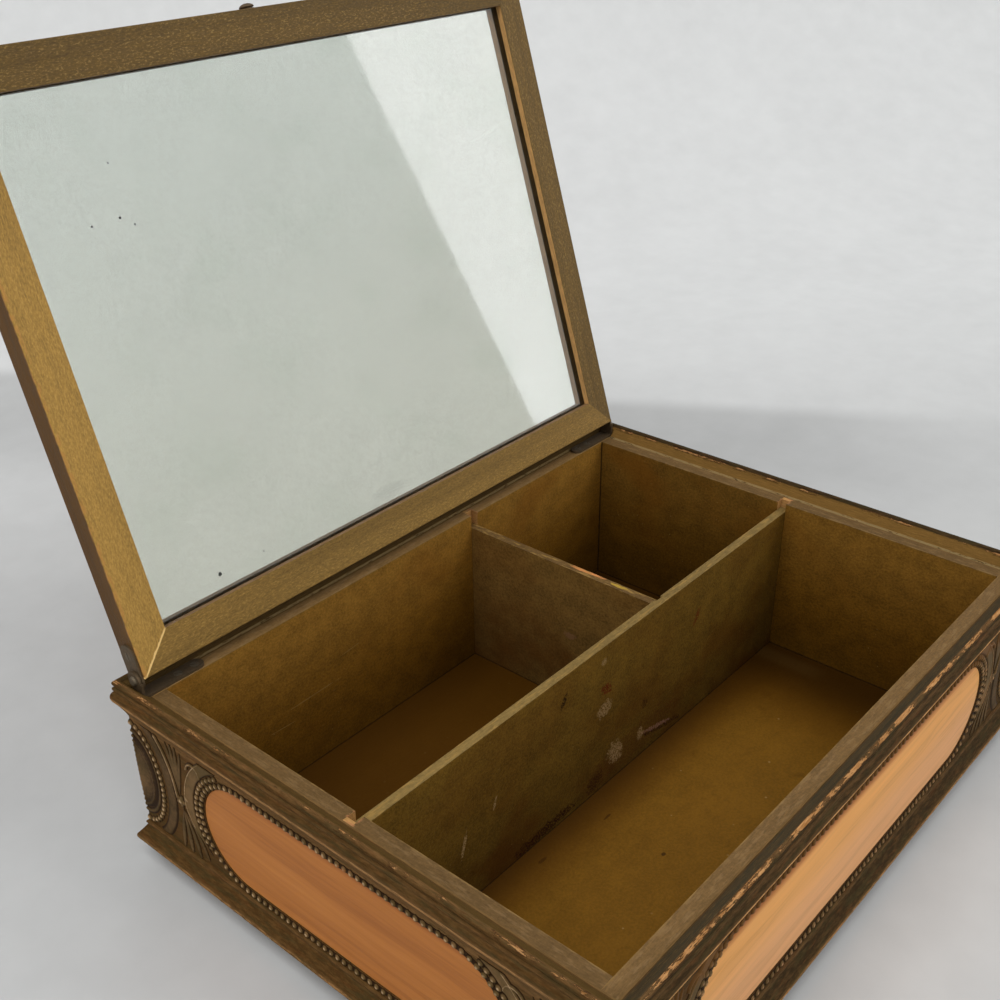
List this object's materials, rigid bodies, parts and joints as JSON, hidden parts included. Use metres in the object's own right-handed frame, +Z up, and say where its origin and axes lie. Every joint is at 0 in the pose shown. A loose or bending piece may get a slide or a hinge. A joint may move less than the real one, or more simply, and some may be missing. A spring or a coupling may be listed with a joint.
{
  "type": "keepsake box",
  "caption": "Rectangular wooden keepsake box with a hinged mirror lid, divided compartments, moulded walls and inlaid panels with rounded ends.",
  "frame": {"origin": "middle of the box's underside, on the table", "axes": "+X along the hinge line to the right as seen from the front, +Y from the front to the hinge side, +Z up"},
  "size_m": [0.279, 0.2727, 0.2761],
  "materials": {
    "moulded_wall_wood": "dark stain, satin, worn to bare wood on the edges",
    "liner_wood": "golden brown stain, satin",
    "divider_wood": "olive brown stain, satin",
    "bottom_wood": "golden brown stain, satin",
    "cedar": "oiled, satin",
    "ornament_wood": "dark stain, satin, worn on the high places",
    "lid_wood": "golden brown stain, satin",
    "mirror_glass": "silvered on the back",
    "backing_board": "plain",
    "hinge_steel": "blackened",
    "knob_metal": "blackened",
    "screw_steel": "dulled"
  },
  "bodies": {
    "box": {"back_bead_border": "ornament_wood", "back_liner": "liner_wood", "back_ornament": "ornament_wood", "back_panel": "cedar", "back_wall": "moulded_wall_wood", "bottom_board": "bottom_wood", "bottom_nails": "screw_steel", "cross_divider": "divider_wood", "front_bead_border": "ornament_wood", "front_liner": "liner_wood", "front_ornament": "ornament_wood", "front_panel": "cedar", "front_wall": "moulded_wall_wood", "left_bead_border": "ornament_wood", "left_hinge_rim_leaf": "hinge_steel", "left_liner": "liner_wood", "left_ornament": "ornament_wood", "left_panel": "cedar", "left_wall": "moulded_wall_wood", "long_divider": "divider_wood", "right_bead_border": "ornament_wood", "right_hinge_rim_leaf": "hinge_steel", "right_liner": "liner_wood", "right_ornament": "ornament_wood", "right_panel": "cedar", "right_wall": "moulded_wall_wood", "rim_leaf_screws": "screw_steel"},
    "lid": {"left_hinge_lid_leaf": "hinge_steel", "left_hinge_rivet": "hinge_steel", "lid_back_rail": "lid_wood", "lid_bead_border": "ornament_wood", "lid_front_rail": "lid_wood", "lid_leaf_screws": "screw_steel", "lid_left_rail": "lid_wood", "lid_panel": "cedar", "lid_right_rail": "lid_wood", "lid_top_board": "lid_wood", "lift_knob": "knob_metal", "mirror_backing": "backing_board", "mirror_glass": "mirror_glass", "right_hinge_lid_leaf": "hinge_steel", "right_hinge_rivet": "hinge_steel"}
  },
  "joints": [
    {"name": "lid_hinge", "type": "hinge", "parent": "box", "child": "lid", "pos_m": [0, 0.099, 0.0821], "axis": [1, 0, 0], "range_deg": [0, 107.2]}
  ]
}
